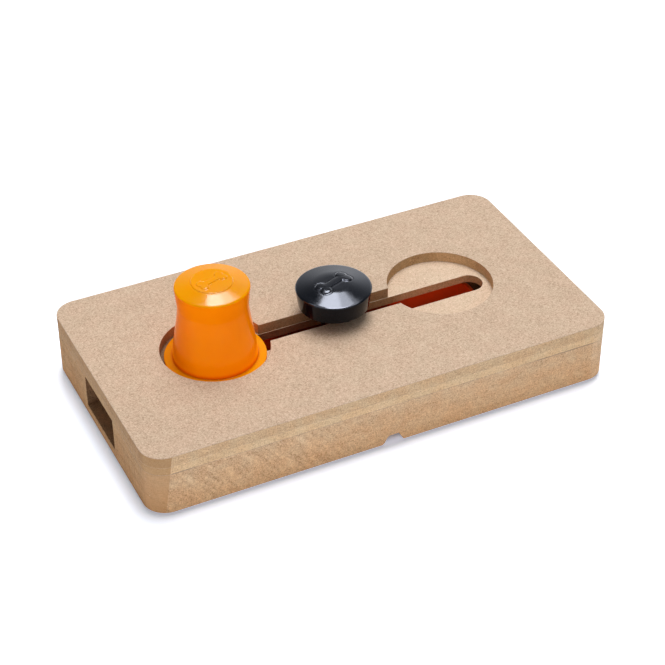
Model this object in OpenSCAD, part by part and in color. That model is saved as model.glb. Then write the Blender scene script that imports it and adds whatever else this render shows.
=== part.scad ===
// Dog puzzle toy: a laminated board with a slot, a knob that slides a hidden
// two-pocket drawer along the slot, and a lift-off cup in one of two recesses.
// X runs along the board, Y from front to back, Z up. The origin is on the
// surface that the board stands on, under the centre of the board.

/* [Board] */
// Length of the board along X
board_l = 300; // [290:1:330]
// Depth of the board along Y
board_w = 163.5; // [150:0.5:190]
// Radius of the four vertical corners
corner_r = 14; // [8:0.5:18]

/* [Layers] */
// Thickness of the bottom panel
bottom_t = 6; // [5:0.1:8]
// Thickness of the two core blocks, which is the height of the channel
core_t = 22; // [21.5:0.1:26]
// Thickness of the deck panel, the floor of the recesses
deck_t = 5.2; // [4:0.1:8]
// Thickness of the top panel, which is the depth of the recesses
top_t = 6.9; // [5:0.1:9]

/* [Channel and slot] */
// Width of the drawer channel between the core blocks
channel_w = 46.6; // [46.2:0.1:54]
// Offset of the channel from the board's centre line
channel_dy = -0.2; // [-0.6:0.1:0.6]
// Width of the slot in the top panel
slot_top_w = 17.1; // [17:0.1:20]
// Width of the slot in the deck panel
slot_deck_w = 16.7; // [16.4:0.1:18]
// Length of the slot in the deck panel, over its round ends
slot_l = 210; // [200:1:212]

/* [Recesses] */
// Distance of each recess from the board's centre
recess_x = 75.6; // [74:0.1:78]
// Radius of each recess
recess_r = 33; // [32:0.1:34]

/* [Finger notch] */
// Centre of the notch along the front edge
notch_x = 2.2; // [-10:0.1:10]
// Width of the notch at the bottom face
notch_w0 = 12; // [8:0.1:16]
// Width of the notch at the top of the bottom panel
notch_w1 = 5.6; // [5:0.1:7.5]
// How far the notch reaches in from the front edge
notch_d = 12; // [8:0.5:20]

/* [Feet and screws] */
// Height of a foot
foot_h = 2; // [1:0.1:4]
// Radius of a foot
foot_r = 9; // [6:0.5:11]
// Distance of the feet from the board's centre along X
foot_x = 128; // [122:1:134]
// Distance of the feet from the board's centre along Y
foot_y = 62; // [58:1:66]
// Distance of the outer panel screws from the board's centre along X
screw_x = 104; // [90:1:110]
// Distance of the panel screws from the board's centre along Y
screw_y = 50; // [42:1:54]
// Length of a panel screw
screw_l = 20; // [14:1:22]

/* [Drawer] */
// Place of the knob and drawer along the slot at rest
slide_x = 2.3; // [-10:0.1:40]
// Length of the drawer over its end walls
drawer_l = 208.3; // [196:0.1:212]
// Width of the drawer
drawer_w = 45; // [43.6:0.1:45.4]
// Thickness of the drawer's walls and floor
drawer_t = 2; // [1.6:0.1:2.4]
// Gap under the drawer
drawer_gap = 0.4; // [0.3:0.1:0.8]
// Gap between the drawer's rim and the deck
rim_gap = 1.1; // [0.6:0.1:1.6]
// Height of the drawer's ends and cross walls
low_h = 12.1; // [11:0.1:14]
// Length of the middle stretch with tall side walls, which run under the deck
tall_l = 84; // [60:1:120]
// Length of the middle bay that carries the knob
bay_l = 34; // [30:1:44]

/* [Knob] */
// Radius of the knob at its top rim
knob_r = 23; // [21:0.1:24]
// Radius of the knob at its lower edge
knob_r0 = 21.4; // [18.5:0.1:22]
// Height of the knob's side
knob_h = 12.2; // [10:0.1:15]
// Rise of the domed top above the rim
dome_h = 2.7; // [1:0.1:4]
// Gap between the board and the knob's lower edge
knob_gap = 7.5; // [4:0.1:12]
// Radius of the stem in the slot
stem_r = 7.75; // [6.5:0.05:7.8]

/* [Cup] */
// Radius of the cup's flange
flange_r = 30.6; // [28:0.1:31.5]
// Thickness of the flange
flange_t = 2; // [1.6:0.1:3]
// Radius of the cup just above the flange
cup_base_r = 25.4; // [24:0.1:26]
// Radius of the waist
cup_waist_r = 21; // [19:0.1:22]
// Radius of the top rim
cup_rim_r = 22.3; // [21:0.1:24]
// Height of the waist above the deck
cup_waist_z = 38.8; // [30:0.1:42]
// Height of the top rim above the deck
cup_rim_z = 51.9; // [46:0.1:58]
// Rise of the conical top above the rim
cone_h = 2.3; // [1:0.1:4]
// Radius of the plain disc in the middle of the top
disc_r = 12.3; // [10:0.1:14]
// Wall thickness of the cup
cup_t = 2; // [1.5:0.1:2.6]

/* [Hidden] */
$fn = 96;
z_bottom = foot_h;
z_core = z_bottom + bottom_t;
z_deck = z_core + core_t;
z_top = z_deck + deck_t;
z_face = z_top + top_t;
z_drawer = z_core + drawer_gap;
z_rim = z_deck - rim_gap;
drawer_h = z_rim - z_drawer;
z_web = z_drawer + low_h;
web_t = 2.5;
z_knob0 = z_face + knob_gap;
z_knob1 = z_knob0 + knob_h;
washer_t = 0.8;
head_h = 2.4;
wood_clear = 0.05;
screw_r = 1.75;
head_r = 3.5;
e = 0.01;

// ---- shared shapes ---------------------------------------------------------

// Rectangle with round corners, centred
module round_rect(l, w, r) {
    square([l - 2 * r, w], center = true);
    square([l, w - 2 * r], center = true);
    for (sx = [-1, 1], sy = [-1, 1])
        translate([sx * (l / 2 - r), sy * (w / 2 - r)]) circle(r);
}

// Long hole with round ends, centred
module long_hole(l, w) {
    square([l - w, w], center = true);
    for (s = [-1, 1]) translate([s * (l - w) / 2, 0]) circle(w / 2);
}

module board_outline() { round_rect(board_l, board_w, corner_r); }

// Places of the panel screws
module at_screws(sides = [-1, 1])
    for (x = [-screw_x, 0, screw_x], s = sides)
        translate([x, s * screw_y, 0]) children();

// Outline of a bone, centred along X
module bone(l, w) {
    square([l - w * 0.6, w * 0.44], center = true);
    for (sx = [-1, 1], sy = [-1, 1])
        translate([sx * (l / 2 - w * 0.29), sy * w * 0.22]) circle(w * 0.28);
}

function ease(t) = t * t * (3 - 2 * t);

// Outside radius of the cup at a height above the deck: a soft S from the
// base in to the waist, then a straight flare out to the rim
function cup_r(z) =
    z >= cup_waist_z
    ? cup_waist_r + (cup_rim_r - cup_waist_r) * (z - cup_waist_z) / (cup_rim_z - cup_waist_z)
    : let (t = (cup_waist_z - z) / (cup_waist_z - flange_t))
      cup_waist_r + (cup_base_r - cup_waist_r) * (0.75 * ease(t) + 0.25 * t);

// ---- board -----------------------------------------------------------------

module bottom_panel() color([0.70, 0.57, 0.43]) difference() {
    translate([0, 0, z_bottom]) linear_extrude(bottom_t) board_outline();
    // finger notch in the front edge
    translate([notch_x, -board_w / 2 + notch_d, z_bottom]) rotate([90, 0, 0])
        linear_extrude(notch_d + 1)
            polygon([[-notch_w0 / 2, -e], [notch_w0 / 2, -e],
                     [notch_w1 / 2, bottom_t + e], [-notch_w1 / 2, bottom_t + e]]);
    // countersunk screw holes
    at_screws() translate([0, 0, z_bottom]) {
        translate([0, 0, -1]) cylinder(r = screw_r + wood_clear, h = bottom_t + 2);
        translate([0, 0, -e]) cylinder(r1 = head_r + wood_clear + e, r2 = screw_r + wood_clear, h = head_r - screw_r + e);
    }
}

// One bar of the core, on the front (-1) or the back (1) of the channel
module core_block(side) difference() {
    intersection() {
        translate([0, 0, z_core]) linear_extrude(core_t) board_outline();
        translate([-board_l, side > 0 ? channel_dy + channel_w / 2 : channel_dy - channel_w / 2 - board_w, z_core - 1])
            cube([2 * board_l, board_w, core_t + 2]);
    }
    at_screws([side]) translate([0, 0, z_core - 1])
        cylinder(r = screw_r + wood_clear, h = z_bottom + screw_l + 1.5 - z_core);
}

module front_block() color([0.75, 0.62, 0.48]) core_block(-1);
module back_block() color([0.75, 0.62, 0.48]) core_block(1);

module deck_panel() color([0.80, 0.68, 0.54])
    translate([0, 0, z_deck]) linear_extrude(deck_t) difference() {
        board_outline();
        long_hole(slot_l, slot_deck_w);
    }

module top_panel() color([0.81, 0.70, 0.58])
    translate([0, 0, z_top]) linear_extrude(top_t) difference() {
        board_outline();
        for (s = [-1, 1]) translate([s * recess_x, 0]) circle(recess_r);
        square([2 * recess_x, slot_top_w], center = true);
    }

// Countersunk screw, head down, drawn from the bottom face up
module wood_screw() difference() {
    rotate_extrude() polygon([[0, 0], [head_r, 0], [screw_r, head_r - screw_r],
                              [screw_r, screw_l - 3], [0.3, screw_l], [0, screw_l]]);
    for (a = [0, 90]) rotate([0, 0, a]) translate([-1.9, -0.45, -1]) cube([3.8, 0.9, 2.1]);
}

module panel_screws() color([0.72, 0.73, 0.75])
    at_screws() translate([0, 0, z_bottom]) wood_screw();

module rubber_feet() color([0.12, 0.12, 0.12])
    for (sx = [-1, 1], sy = [-1, 1]) translate([sx * foot_x, sy * foot_y, 0])
        rotate_extrude() polygon([[0, 0], [foot_r - 0.8, 0], [foot_r, 0.8], [foot_r, foot_h], [0, foot_h]]);

// ---- slide -----------------------------------------------------------------

// Tray with a pocket at each end and an open bay under the middle web. The
// side walls are tall in the middle and slope down to low ends.
module drawer() color([0.62, 0.17, 0.05]) translate([slide_x, channel_dy, 0]) {
    pocket_l = (drawer_l - bay_l) / 2 - 2 * drawer_t;
    slope_l = 12;
    difference() {
        translate([0, 0, z_drawer]) linear_extrude(drawer_h) round_rect(drawer_l, drawer_w, 6);
        for (s = [-1, 1]) translate([s * (bay_l / 2 + drawer_t + pocket_l / 2), 0, z_drawer + drawer_t])
            linear_extrude(drawer_h) round_rect(pocket_l, drawer_w - 2 * drawer_t, 4);
        // open above the cross walls and the web, between the side walls
        translate([-drawer_l / 2 - 1, -drawer_w / 2 + drawer_t, z_web])
            cube([drawer_l + 2, drawer_w - 2 * drawer_t, drawer_h]);
        // low ends
        for (m = [0, 1]) mirror([m, 0, 0]) translate([0, drawer_w / 2 + 1, 0]) rotate([90, 0, 0])
            linear_extrude(drawer_w + 2)
                polygon([[tall_l / 2, z_rim + 1], [tall_l / 2, z_rim], [tall_l / 2 + slope_l, z_web],
                         [drawer_l / 2 + 1, z_web], [drawer_l / 2 + 1, z_rim + 1]]);
        translate([-bay_l / 2, -drawer_w / 2 + drawer_t, z_drawer - 1])
            cube([bay_l, drawer_w - 2 * drawer_t, low_h - web_t + 1]);
        translate([0, -channel_dy, z_drawer]) cylinder(r = 2.2, h = drawer_h + 1);
    }
}

// Domed disc, hollow below, on a stem that reaches down to the drawer
module knob() color([0.10, 0.10, 0.11]) translate([slide_x, 0, 0]) {
    wall = 2.2;
    z_ceil = z_knob1 - 2.4;
    soft = 0.6;
    dome_n = 8;
    rotate_extrude() polygon(concat(
        [[screw_r + wood_clear, z_web], [stem_r - 0.5, z_web], [stem_r, z_web + 0.5],
         [stem_r, z_ceil], [knob_r - wall - 0.8, z_ceil], [knob_r0 - wall, z_knob0],
         [knob_r0 - 0.4, z_knob0], [knob_r0, z_knob0 + 0.4],
         [knob_r, z_knob1 - soft], [knob_r - soft * 0.3, z_knob1 - soft * 0.3]],
        [for (i = [0 : dome_n - 1]) let (r = (knob_r - soft) * (1 - i / dome_n))
            [r, z_knob1 + dome_h * (1 - pow(r / (knob_r - soft), 3))]],
        [[0, z_knob1 + dome_h], [0, z_web + 20], [screw_r + wood_clear, z_web + 20]]));
    // stiffening ribs under the disc
    for (a = [30 : 60 : 330]) rotate([0, 0, a])
        translate([stem_r - 0.5, -0.8, z_knob0 + 4]) cube([knob_r0 - wall - stem_r + 1, 1.6, z_ceil - z_knob0 - 4 + 0.5]);
    // raised bone on the dome
    translate([0, 0, z_knob1 + 1]) linear_extrude(dome_h - 0.4) rotate(20) bone(24, 11);
}

// Pan-head screw from below into the stem
module knob_screw() color([0.75, 0.76, 0.78])
    translate([slide_x, 0, z_web - web_t - washer_t - head_h]) difference() {
        rotate_extrude() polygon([[0, 0], [2.6, 0], [3.6, 1], [3.6, head_h], [screw_r, head_h],
                                  [screw_r, 19.5], [0.8, 21], [0, 21]]);
        for (a = [0, 90]) rotate([0, 0, a]) translate([-1.9, -0.45, -1]) cube([3.8, 0.9, 2.2]);
    }

module knob_washer() color([0.78, 0.79, 0.80])
    translate([slide_x, 0, z_web - web_t - washer_t]) difference() {
        cylinder(r = 5.5, h = washer_t);
        translate([0, 0, -1]) cylinder(r = 2.2, h = washer_t + 2);
    }

// ---- cup -------------------------------------------------------------------

// Hollow waisted cup, open side down on the deck, with a flange round it
module treat_cup() color([0.94, 0.50, 0.02]) translate([-recess_x, 0, z_top]) {
    n = 12;
    z_in = cup_rim_z - 1.9;
    rotate_extrude() polygon(concat(
        [[0, cup_rim_z + cone_h + 0.4], [disc_r - 0.3, cup_rim_z + cone_h + 0.4], [disc_r, cup_rim_z + cone_h]],
        [[cup_rim_r - 0.9, cup_rim_z + 0.15], [cup_rim_r - 0.2, cup_rim_z - 0.2]],
        [for (i = [0 : 3]) let (z = cup_rim_z - 0.9 - i * (cup_rim_z - 0.9 - cup_waist_z) / 3) [cup_r(z), z]],
        [for (i = [1 : n]) let (z = cup_waist_z - i * (cup_waist_z - flange_t - 0.8) / n) [cup_r(z), z]],
        [[cup_base_r + 0.8, flange_t], [flange_r - 0.4, flange_t], [flange_r, flange_t - 0.4],
         [flange_r, 0], [cup_r(0 + flange_t) - cup_t, 0]],
        [for (i = [0 : n]) let (z = flange_t + i * (cup_waist_z - flange_t) / n) [cup_r(z) - cup_t, z]],
        [[cup_r(z_in) - cup_t, z_in], [disc_r, cup_rim_z + cone_h - 2], [0, cup_rim_z + cone_h - 1.8]]));
    // raised bone on the disc
    translate([0, 0, cup_rim_z + cone_h]) linear_extrude(1.1) rotate(20) bone(19, 8.6);
}

// ---- nodes -----------------------------------------------------------------

bottom_panel();
front_block();
back_block();
deck_panel();
top_panel();
panel_screws();
rubber_feet();
drawer();
knob();
knob_screw();
knob_washer();
treat_cup();
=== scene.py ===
import math

import bmesh
import bpy
import numpy as np
from mathutils import Matrix, Vector


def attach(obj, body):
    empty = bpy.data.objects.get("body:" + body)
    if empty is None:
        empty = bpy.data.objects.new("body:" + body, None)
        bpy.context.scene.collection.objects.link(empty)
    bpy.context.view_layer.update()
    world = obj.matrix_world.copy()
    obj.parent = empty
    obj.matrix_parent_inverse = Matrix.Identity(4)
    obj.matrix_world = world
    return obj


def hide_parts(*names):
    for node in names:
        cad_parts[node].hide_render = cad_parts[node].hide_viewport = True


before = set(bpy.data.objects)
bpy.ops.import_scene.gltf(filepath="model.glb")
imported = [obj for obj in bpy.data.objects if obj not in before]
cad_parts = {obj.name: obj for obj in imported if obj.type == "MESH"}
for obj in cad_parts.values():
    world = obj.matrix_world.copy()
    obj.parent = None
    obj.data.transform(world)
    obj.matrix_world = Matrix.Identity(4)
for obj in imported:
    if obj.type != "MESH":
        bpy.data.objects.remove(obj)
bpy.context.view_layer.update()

MM = 0.001
TAU = 2.0 * math.pi

# ---------------------------------------------------------------- sizes in mm
BOARD_L, BOARD_W, CORNER = 300.0, 163.5, 14.0
Z_BOTTOM, Z_CORE, Z_DECK, Z_TOP, Z_FACE = 2.0, 8.0, 30.0, 35.2, 42.1
CHAN_Y0, CHAN_Y1 = -23.5, 23.1
RECESS_X, RECESS_R = 75.6, 33.0
SLOT_TOP_W, SLOT_DECK_W, SLOT_L = 17.1, 16.7, 210.0
FOOT_X, FOOT_Y, FOOT_R = 128.0, 62.0, 9.0
SCREW_X, SCREW_Y = 104.0, 50.0
SLIDE_X, CHAN_DY = 2.3, -0.2
DRAWER_L, DRAWER_W, DRAWER_T, BAY_L, WEB_T = 208.3, 45.0, 2.0, 34.0, 2.5
Z_DRAWER, Z_WEB, Z_RIM, TALL_L, SLOPE_L = 8.4, 20.5, 28.9, 84.0, 12.0


# ------------------------------------------------------------------- geometry
def arc(cx, cy, r, a0, a1, n):
    return [(cx + r * math.cos(a0 + (a1 - a0) * i / n),
             cy + r * math.sin(a0 + (a1 - a0) * i / n)) for i in range(n + 1)]


def round_rect(x0, y0, x1, y1, radii, n=18):
    """Counter-clockwise outline. radii: front-left, front-right, back-right, back-left."""
    fl, fr, br, bl = radii
    pts = []
    for (cx, cy, r, a) in ((x0 + fl, y0 + fl, fl, 1.0), (x1 - fr, y0 + fr, fr, 1.5),
                           (x1 - br, y1 - br, br, 2.0), (x0 + bl, y1 - bl, bl, 2.5)):
        k = n if r > 1.0 else 3
        pts += arc(cx, cy, r, a * math.pi, (a + 0.5) * math.pi, k)
    return pts


def circle(cx, cy, r, n=64):
    """Clockwise, so the material is on its left when it is a hole."""
    return [(cx + r * math.cos(-TAU * i / n), cy + r * math.sin(-TAU * i / n)) for i in range(n)]


def inset(loop, d):
    """Moves every point of a closed loop into the material on its left by d."""
    p = np.array(loop, float)
    t = np.roll(p, -1, 0) - p
    t /= np.maximum(np.linalg.norm(t, axis=1), 1e-9)[:, None]
    n = np.c_[-t[:, 1], t[:, 0]]
    m = n + np.roll(n, 1, 0)
    k = 1.0 + (n * np.roll(n, 1, 0)).sum(1)
    return p + d * m / np.maximum(k, 0.25)[:, None]


def edge_rings(z0, z1, e0, e1, n=4):
    """(z, inset) pairs up a wall with a rounded lower and upper edge."""
    out = []
    if e0 > 0:
        out += [(z0 + e0 * (1 - math.cos(a)), e0 * (1 - math.sin(a)))
                for a in np.linspace(0, math.pi / 2, n + 1)]
    else:
        out.append((z0, 0.0))
    if e1 > 0:
        out += [(z1 - e1 + e1 * math.sin(a), e1 * (1 - math.cos(a)))
                for a in np.linspace(0, math.pi / 2, n + 1)]
    else:
        out.append((z1, 0.0))
    return out


class Mesher:
    """Collects rings, strips between rings and flat caps into one closed mesh."""

    def __init__(self):
        self.bm = bmesh.new()

    def ring(self, pts, z=None):
        if z is None:
            return [self.bm.verts.new((x * MM, y * MM, h * MM)) for x, y, h in pts]
        return [self.bm.verts.new((x * MM, y * MM, z * MM)) for x, y in pts]

    def strip(self, a, b, mat=0):
        n = len(a)
        for i in range(n):
            j = (i + 1) % n
            f = self.bm.faces.new((a[i], a[j], b[j], b[i]))
            f.material_index = mat
            f.smooth = True

    def fan(self, a, p, mat=0):
        v = self.bm.verts.new((p[0] * MM, p[1] * MM, p[2] * MM))
        for i in range(len(a)):
            f = self.bm.faces.new((a[i], a[(i + 1) % len(a)], v))
            f.material_index = mat
            f.smooth = True

    def wall(self, loop, rings, mat=0):
        """Strips up one loop; rings are (z, inset). Returns the first and last ring."""
        made = [self.ring(inset(loop, d), z) for z, d in rings]
        for a, b in zip(made, made[1:]):
            self.strip(a, b, mat)
        return made[0], made[-1]

    def cap(self, rings, mat=0):
        edges = []
        for r in rings:
            for i in range(len(r)):
                a, b = r[i], r[(i + 1) % len(r)]
                edges.append(self.bm.edges.get((a, b)) or self.bm.edges.new((a, b)))
        made = bmesh.ops.triangle_fill(self.bm, use_beauty=True, use_dissolve=False, edges=edges)
        for f in made["geom"]:
            if isinstance(f, bmesh.types.BMFace):
                f.material_index = mat
                f.smooth = True

    def done(self, name, mats):
        bmesh.ops.recalc_face_normals(self.bm, faces=self.bm.faces[:])
        me = bpy.data.meshes.new(name)
        self.bm.to_mesh(me)
        self.bm.free()
        for m in mats:
            me.materials.append(m)
        ob = bpy.data.objects.new(name, me)
        bpy.context.scene.collection.objects.link(ob)
        return ob


def weighted(ob):
    m = ob.modifiers.new("even_normals", "WEIGHTED_NORMAL")
    m.mode = "FACE_AREA"
    m.weight = 70
    m.keep_sharp = False
    return ob


def sheet(name, outer, holes, z0, z1, mats, outer_edge, hole_edge, support=0.4):
    """A flat sheet: outer loop and through holes. mats: top, outer wall, hole wall, underside."""
    m = Mesher()
    e0, e1 = outer_edge
    lows, highs = [], []
    rings = [(z0, e0 + support)] + edge_rings(z0, z1, e0, e1) + [(z1, e1 + support)]
    a, b = m.wall(outer, rings, 1)
    lows.append(a); highs.append(b)
    h0, h1 = hole_edge
    for h in holes:
        rings = [(z0, h0 + support)] + edge_rings(z0, z1, h0, h1) + [(z1, h1 + support)]
        a, b = m.wall(h, rings, 2)
        lows.append(a); highs.append(b)
    m.cap(highs, 0)
    m.cap(lows, 3)
    # the flat part of each support ring takes the finish of its cap
    m.bm.normal_update()
    for f in m.bm.faces:
        if abs(f.normal.z) > 0.5:
            f.material_index = 0 if f.calc_center_median().z > (z0 + z1) / 2 * MM else 3
    return weighted(m.done(name, mats))


def smoothstep(a, b, x):
    t = np.clip((x - a) / (b - a), 0.0, 1.0)
    return t * t * (3 - 2 * t)


def bone_distance(x, y, l, w, turn):
    """Signed distance to a plain bone outline, soft where its knuckles join the shaft."""
    c, s = math.cos(-turn), math.sin(-turn)
    u, v = c * x - s * y, s * x + c * y
    qx, qy = np.abs(u) - (l - w * 0.6) / 2, np.abs(v) - w * 0.2
    rect = np.hypot(np.maximum(qx, 0), np.maximum(qy, 0)) + np.minimum(np.maximum(qx, qy), 0)
    cx, cy = l / 2 - w * 0.29, w * 0.22
    knob = np.hypot(np.abs(u) - cx, np.abs(v) - cy) - w * 0.28
    k = w * 0.10
    h = np.clip(0.5 + 0.5 * (knob - rect) / k, 0, 1)
    return knob * (1 - h) + rect * h - k * h * (1 - h)


def polar(cx, cy, r, ang):
    return np.c_[cx + r * np.cos(ang), cy + r * np.sin(ang)]


def fillet(p0, p1, p2, r, n=6):
    """Points of a round corner at p1 between p0 and p2, in the (radius, height) plane."""
    p0, p1, p2 = (np.array(p, float) for p in (p0, p1, p2))
    a, b = (p0 - p1) / np.linalg.norm(p0 - p1), (p2 - p1) / np.linalg.norm(p2 - p1)
    half = math.acos(max(-1, min(1, float(a @ b)))) / 2
    d = r / math.tan(half)
    d = min(d, 0.49 * np.linalg.norm(p0 - p1), 0.49 * np.linalg.norm(p2 - p1))
    out = []
    for i in range(n + 1):
        t = i / n
        q0, q1 = p1 + a * d * (1 - t), p1 + b * d * t
        out.append(tuple(q0 * (1 - t) + q1 * t))
    return out


def rounded_path(points, n=6):
    """points: (radius, height, corner rounding). Rounds every inner corner."""
    out = [points[0][:2]]
    for a, b, c in zip(points, points[1:], points[2:]):
        if b[2] > 0:
            out += fillet(a[:2], b[:2], c[:2], b[2], n)
        else:
            out.append(b[:2])
    out.append(points[-1][:2])
    return out


# ------------------------------------------------------------------ materials
class Mat:
    def __init__(self, name):
        self.m = bpy.data.materials.new(name)
        self.m.use_nodes = True
        self.t = self.m.node_tree
        self.t.nodes.clear()
        self.out = self.add("ShaderNodeOutputMaterial")
        self.coord = self.add("ShaderNodeTexCoord").outputs["Object"]
        self.p = self.vec("MULTIPLY", self.coord, (1000.0, 1000.0, 1000.0))

    def put(self, sock, v):
        if isinstance(v, bpy.types.NodeSocket):
            self.t.links.new(v, sock)
        else:
            sock.default_value = v

    def add(self, kind, ins=None, **attrs):
        n = self.t.nodes.new(kind)
        for k, v in attrs.items():
            setattr(n, k, v)
        for k, v in (ins or {}).items():
            self.put(n.inputs[k], v)
        return n

    def math(self, op, a, b=0.0, c=0.0, clamp=False):
        n = self.add("ShaderNodeMath", operation=op, use_clamp=clamp)
        self.put(n.inputs[0], a)
        self.put(n.inputs[1], b)
        self.put(n.inputs[2], c)
        return n.outputs[0]

    def vec(self, op, a, b=(0, 0, 0)):
        n = self.add("ShaderNodeVectorMath", operation=op)
        self.put(n.inputs[0], a)
        self.put(n.inputs[1], b)
        return n.outputs[0]

    def turn(self, v, axis, angle):
        n = self.add("ShaderNodeVectorRotate", rotation_type="AXIS_ANGLE")
        self.put(n.inputs["Vector"], v)
        n.inputs["Axis"].default_value = axis
        n.inputs["Angle"].default_value = angle
        return n.outputs[0]

    def xyz(self, v):
        n = self.add("ShaderNodeSeparateXYZ", {"Vector": v})
        return n.outputs[0], n.outputs[1], n.outputs[2]

    def noise(self, v, scale, detail=2.0, rough=0.5, twist=0.0):
        n = self.add("ShaderNodeTexNoise", {"Vector": v, "Scale": scale, "Detail": detail,
                                            "Roughness": rough, "Distortion": twist})
        return n.outputs["Fac"]

    def cells(self, v, scale, rand=1.0):
        n = self.add("ShaderNodeTexVoronoi", {"Vector": v, "Scale": scale, "Randomness": rand})
        return n.outputs["Distance"], n.outputs["Color"]

    def span(self, v, a, b, lo=0.0, hi=1.0, smooth=False):
        n = self.add("ShaderNodeMapRange", {"Value": v, "From Min": a, "From Max": b,
                                            "To Min": lo, "To Max": hi},
                     interpolation_type="SMOOTHSTEP" if smooth else "LINEAR")
        return n.outputs["Result"]

    def ramp(self, fac, stops):
        n = self.add("ShaderNodeValToRGB", {"Fac": fac})
        el = n.color_ramp.elements
        el[0].position, el[0].color = stops[0][0], (*stops[0][1], 1)
        el[1].position, el[1].color = stops[-1][0], (*stops[-1][1], 1)
        for pos, col in stops[1:-1]:
            e = el.new(pos)
            e.color = (*col, 1)
        return n.outputs["Color"]

    def mix(self, fac, a, b, blend="MIX"):
        n = self.add("ShaderNodeMix", data_type="RGBA", blend_type=blend, clamp_factor=True)
        self.put(n.inputs[0], fac)
        for i, v in ((6, a), (7, b)):
            if isinstance(v, tuple):
                v = (*v, 1.0) if len(v) == 3 else v
            self.put(n.inputs[i], v)
        return n.outputs[2]

    def scale(self, col, fac):
        n = self.add("ShaderNodeVectorMath", operation="SCALE")
        self.put(n.inputs[0], col)
        self.put(n.inputs["Scale"], fac)
        return n.outputs[0]

    def bump(self, height, strength, dist, base=None):
        n = self.add("ShaderNodeBump", {"Strength": strength, "Distance": dist, "Height": height})
        if base is not None:
            self.put(n.inputs["Normal"], base)
        return n.outputs[0]

    def shade(self, **ins):
        b = self.add("ShaderNodeBsdfPrincipled")
        for k, v in ins.items():
            self.put(b.inputs[k.replace("_", " ")], v)
        self.t.links.new(b.outputs[0], self.out.inputs["Surface"])
        return self.m


def fibre_sum(m, terms, centre=0.5):
    """Sum of (socket, weight) pairs around the centre, each as (socket - 0.5) * weight."""
    acc = None
    for sock, weight in terms:
        v = m.math("MULTIPLY_ADD", sock, weight, -0.5 * weight)
        acc = v if acc is None else m.math("ADD", acc, v)
    return m.math("ADD", acc, centre, clamp=True)


def tone(col, k):
    return tuple(c * k for c in col)


# multipliers from the darkest to the palest fibre; the pale ones are also greyer
GRAIN = [(0.0, (0.60, 0.55, 0.48)), (0.30, (0.87, 0.85, 0.827)), (0.5, (1.0, 1.0, 1.0)),
         (0.70, (1.10, 1.118, 1.137)), (1.0, (1.30, 1.35, 1.42))]


def speckle(m, contrast=1.0):
    """Fibre speckle in three sizes."""
    n1 = m.noise(m.p, 1.05, 1.0, 0.6)
    n2 = m.noise(m.vec("ADD", m.p, (31.0, 7.0, 3.0)), 0.52, 1.0, 0.5)
    n3 = m.noise(m.vec("ADD", m.p, (3.0, 57.0, 13.0)), 1.75, 0.0, 0.5)
    terms = [(n1, 0.98 * contrast), (n2, 0.40 * contrast), (n3, 0.80 * contrast)]
    return n1, n2, terms


def fibreboard_face(name, base, contrast=1.0, gap_shade=False):
    """Sanded face of fibreboard: fine fibre speckle, small clumps, broad mottling, dark flecks."""
    m = Mat(name)
    n1, n2, terms = speckle(m, contrast)
    terms.append((m.noise(m.p, 0.075, 3.0, 0.55), 0.30))
    for k, ang in enumerate((0.35, 1.4, 2.5)):
        v = m.turn(m.p, (0, 0, 1), ang)
        v = m.vec("MULTIPLY", v, (0.40, 1.25, 1.0))
        terms.append((m.noise(m.vec("ADD", v, (17.0 * k, 5.0, 0.0)), 1.0, 1.0, 0.5), 0.45 * contrast))
    t = fibre_sum(m, terms)
    col = m.mix(1.0, base, m.ramp(t, GRAIN), "MULTIPLY")
    hue = m.noise(m.vec("ADD", m.p, (5.0, 90.0, 11.0)), 0.09, 1.0, 0.5)
    pink = m.mix(1.0, col, (1.008, 0.994, 0.992), "MULTIPLY")
    pale = m.mix(1.0, col, (0.994, 1.004, 1.0), "MULTIPLY")
    col = m.mix(m.span(hue, 0.36, 0.64), pale, pink)
    d, _ = m.cells(m.p, 0.17)
    col = m.mix(m.math("MULTIPLY", m.span(d, 0.10, 0.05), 0.30), col, tone(base, 0.42))
    d2, _ = m.cells(m.vec("ADD", m.p, (9.0, 4.0, 77.0)), 0.15)
    col = m.mix(m.math("MULTIPLY", m.span(d2, 0.09, 0.045), 0.45), col, tone(base, 1.5))
    if gap_shade:
        # painted shade in the narrow ring round the cup, on the side away from the slot, where the flange and the
        # recess wall shade the deck
        x, y, _ = m.xyz(m.p)
        rx = m.math("ADD", x, RECESS_X)
        r = m.math("SQRT", m.math("ADD", m.math("MULTIPLY", rx, rx), m.math("MULTIPLY", y, y)))
        ring = m.math("MULTIPLY", m.span(r, 29.6, 30.4), m.span(rx, 8.0, -6.0))
        ring = m.math("MULTIPLY", ring, m.span(r, 33.8, 33.3))
        col = m.mix(ring, col, m.mix(1.0, col, (0.34, 0.25, 0.19), "MULTIPLY"))
    height = m.math("ADD", n1, m.math("MULTIPLY", n2, 0.6))
    return m.shade(Base_Color=col, Roughness=m.span(n2, 0.3, 0.7, 0.72, 0.9),
                   Specular_IOR_Level=0.25, Normal=m.bump(height, 0.30, 0.00012))


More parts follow.
